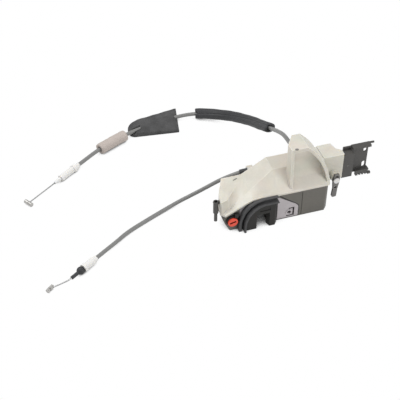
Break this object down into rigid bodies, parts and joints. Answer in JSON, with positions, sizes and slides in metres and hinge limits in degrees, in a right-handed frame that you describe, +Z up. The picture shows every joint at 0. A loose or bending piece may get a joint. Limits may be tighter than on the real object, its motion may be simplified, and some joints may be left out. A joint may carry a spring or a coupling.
{
  "type": "car door lock",
  "caption": "Car door lock: steel face plate with striker slot, pale splash cover with cable funnel, plug bracket and two pull cables.",
  "frame": {"origin": "mouth of the striker slot: middle of its width, on the outer surface of the steel face plate, level with the surface the lock lies on", "axes": "+X along the lock to its plug and bracket, +Y back from the face plate, +Z up from the surface it lies on"},
  "size_m": [0.4401, 0.2963, 0.104],
  "materials": {
    "frame_plastic": "as moulded",
    "block_plastic": "as moulded",
    "dark_plastic": "as moulded",
    "grey_plastic": "as moulded",
    "cover_plastic": "as moulded",
    "white_plastic": "as moulded",
    "red_plastic": "as moulded",
    "rotor_plastic": "as moulded",
    "seal_rubber": "as moulded",
    "sleeve_rubber": "as moulded",
    "sheath_plastic": "as moulded",
    "pad_foam": "as moulded",
    "beige_foam": "as moulded",
    "zinc_steel": "plain",
    "hard_steel": "plain",
    "spring_steel": "plain",
    "tin_metal": "plain"
  },
  "bodies": {
    "housing": {"latch_frame": "frame_plastic", "face_plate": "zinc_steel", "back_plate": "zinc_steel", "rotor_pin": "zinc_steel", "mouth_block": "block_plastic", "mouth_seal": "seal_rubber", "striker_bumper": "seal_rubber", "child_lock_collar": "dark_plastic", "splash_cover": "cover_plastic", "actuator_case": "cover_plastic", "rear_cover": "dark_plastic", "cover_screws": "zinc_steel", "lock_motor": "zinc_steel", "release_pin": "zinc_steel", "rotor_spring": "spring_steel", "pawl_spring": "spring_steel", "latch_switch": "dark_plastic", "wheel_pin": "hard_steel", "connector_housing": "dark_plastic", "terminals": "tin_metal", "connector_bracket": "dark_plastic", "sheath_1": "sheath_plastic", "sleeve_1": "sleeve_rubber", "pad_1": "pad_foam", "foam_1": "beige_foam", "fitting_1": "white_plastic", "sheath_2": "sheath_plastic", "cable_holder": "cover_plastic", "grommet_2": "sleeve_rubber", "fitting_2": "white_plastic", "boot_2": "sleeve_rubber"},
    "rotor": {"rotor_core": "hard_steel", "rotor_coat": "rotor_plastic"},
    "pawl_unit": {"pawl": "hard_steel", "pawl_shaft": "zinc_steel", "pawl_arm": "zinc_steel"},
    "release_crank": {"release_lever": "zinc_steel"},
    "child_lock": {"child_lock_knob": "red_plastic"},
    "lock_gear": {"lock_wheel": "white_plastic"},
    "motor_rotor": {"motor_pinion": "white_plastic", "motor_shaft": "hard_steel"},
    "lock_bar": {"lock_slide": "white_plastic"},
    "lock_crank": {"lock_lever": "zinc_steel"},
    "rod_clip": {"rod_socket": "grey_plastic"},
    "outside_crank": {"outside_lever": "zinc_steel", "lever_pin": "zinc_steel"},
    "pull_wire_1": {"wire_1": "spring_steel", "barrel_1": "tin_metal"},
    "pull_wire_2": {"wire_2": "spring_steel", "ferrule_2": "tin_metal"}
  },
  "joints": [
    {"name": "rotor_swing", "type": "hinge", "parent": "housing", "child": "rotor", "pos_m": [0.014, 0.005, 0.025], "axis": [0, 1, 0], "range_deg": [0, 40], "stiffness_Nm_per_rad": 0.05},
    {"name": "release_swing", "type": "hinge", "parent": "housing", "child": "release_crank", "pos_m": [-0.02, 0.0205, 0.0285], "axis": [0, -1, 0], "range_deg": [0, 15], "stiffness_Nm_per_rad": 0.05},
    {"name": "pawl_lift", "type": "hinge", "parent": "housing", "child": "pawl_unit", "pos_m": [-0.02, 0.0055, 0.012], "axis": [0, -1, 0], "range_deg": [0, 19.6]},
    {"name": "wire_1_pull", "type": "slide", "parent": "housing", "child": "pull_wire_1", "axis": [-0.8233, -0.5669, -0.0282], "range_m": [0, 0.00895]},
    {"name": "child_lock_turn", "type": "hinge", "parent": "housing", "child": "child_lock", "pos_m": [-0.0385, 0, 0.016], "axis": [0, -1, 0], "range_deg": [0, 70]},
    {"name": "lock_turn", "type": "hinge", "parent": "housing", "child": "lock_gear", "pos_m": [0.083, 0.0416, 0.051], "axis": [0, 1, 0], "range_deg": [0, 30]},
    {"name": "motor_spin", "type": "hinge", "parent": "housing", "child": "motor_rotor", "pos_m": [0.099, 0.0416, 0.051], "axis": [0, 1, 0], "range_deg": [-90, 0]},
    {"name": "lock_bar_move", "type": "slide", "parent": "housing", "child": "lock_bar", "axis": [1, 0, 0], "range_m": [-0.00208, 0]},
    {"name": "lock_crank_swing", "type": "hinge", "parent": "housing", "child": "lock_crank", "pos_m": [-0.033, 0.03, 0.0353], "axis": [0, 1, 0], "range_deg": [-23.5, 0]},
    {"name": "rod_clip_hang", "type": "hinge", "parent": "lock_crank", "child": "rod_clip", "pos_m": [-0.0564, 0.01, 0.0375], "axis": [0, 1, 0], "range_deg": [0, 23.5]},
    {"name": "wire_2_pull", "type": "slide", "parent": "housing", "child": "pull_wire_2", "axis": [-0.8352, -0.5497, -0.0143], "range_m": [0, 0.00825]},
    {"name": "outside_lever_swing", "type": "hinge", "parent": "housing", "child": "outside_crank", "pos_m": [0.102, 0.0095, 0.038], "axis": [0, -1, 0], "range_deg": [0, 20], "stiffness_Nm_per_rad": 0.02}
  ],
  "couplings": [
    {"joint": "pawl_lift", "follows": "release_swing", "ratio": 1.3},
    {"joint": "wire_1_pull", "follows": "release_swing", "m_per_rad": 0.034},
    {"joint": "motor_spin", "follows": "lock_turn", "ratio": -3},
    {"joint": "lock_bar_move", "follows": "lock_turn", "m_per_rad": -0.00395},
    {"joint": "lock_crank_swing", "follows": "lock_turn", "ratio": -0.783},
    {"joint": "rod_clip_hang", "follows": "lock_turn", "ratio": 0.783},
    {"joint": "wire_2_pull", "follows": "lock_turn", "m_per_rad": 0.0157}
  ]
}
